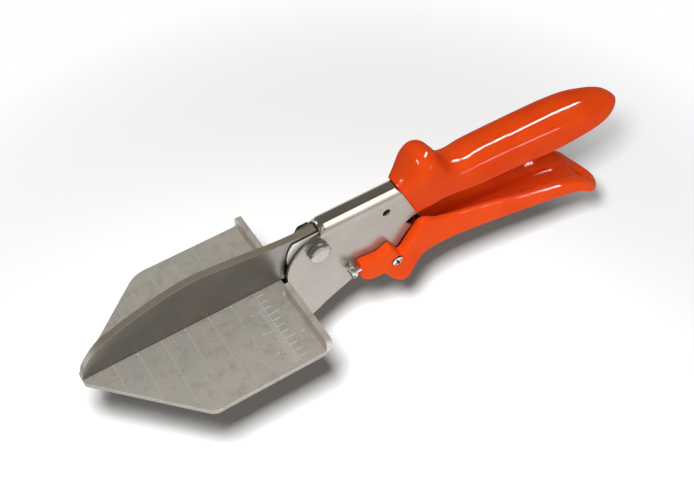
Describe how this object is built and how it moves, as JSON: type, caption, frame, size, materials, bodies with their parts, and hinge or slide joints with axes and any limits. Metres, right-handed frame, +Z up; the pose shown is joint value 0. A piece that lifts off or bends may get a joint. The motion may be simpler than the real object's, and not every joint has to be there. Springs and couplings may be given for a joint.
{
  "type": "profile shears",
  "caption": "Hand shears whose knife lever swings in a folded frame onto a pointed mitre table with a rear fence, with two coated handles.",
  "frame": {"origin": "centre of the bounding box's footprint, at the lowest point, the tail of the lower handle; the table's top is level 44.9 mm above it", "axes": "+X runs along the blade from the table's blunt tip to the handles' rear, +Y from the side with the bolt head to the side with the nut, +Z up from the table's top"},
  "size_m": [0.257, 0.071, 0.0835],
  "materials": {
    "plated_steel": "satin plated",
    "table_steel": "fine brushed",
    "blade_steel": "dark satin",
    "zinc_fittings": "zinc plated",
    "dark_steel": "blackened",
    "bronze": "turned",
    "anvil_insert": "matt",
    "orange_coat": "glossy dip coat"
  },
  "bodies": {
    "frame": {"frame_channel": "plated_steel", "anvil_table": "table_steel", "anvil_strip": "anvil_insert", "anvil_bar": "dark_steel", "near_table_bracket": "dark_steel", "far_table_bracket": "dark_steel", "jaw_rivet_1": "zinc_fittings", "jaw_rivet_2": "zinc_fittings", "jaw_rivet_3": "zinc_fittings", "spacer_rivet": "zinc_fittings", "jaw_spacer": "zinc_fittings", "pivot_bolt": "zinc_fittings", "pivot_washer": "zinc_fittings", "pivot_nut": "zinc_fittings", "pivot_bush": "bronze", "near_wear_plate": "zinc_fittings", "far_wear_plate": "zinc_fittings", "spring_bush": "zinc_fittings", "return_spring": "dark_steel", "upper_grip": "orange_coat"},
    "lever": {"blade": "blade_steel", "lower_handle_core": "plated_steel", "lower_grip": "orange_coat", "handle_screw": "zinc_fittings", "handle_nut": "zinc_fittings", "near_tang_spacer": "zinc_fittings", "far_tang_spacer": "zinc_fittings", "tang_rivet": "dark_steel", "adjusting_screw": "zinc_fittings", "catch_pin": "zinc_fittings"},
    "catch": {"catch_lever": "dark_steel"}
  },
  "joints": [
    {"name": "blade_pivot", "type": "hinge", "parent": "frame", "child": "lever", "pos_m": [-0.0282, 0.0032, 0.0572], "axis": [0, 1, 0], "range_deg": [0, 30]},
    {"name": "catch_swing", "type": "hinge", "parent": "lever", "child": "catch", "pos_m": [0.01575, 0.0032, 0.0337], "axis": [0, -1, 0], "range_deg": [0, 20]}
  ]
}
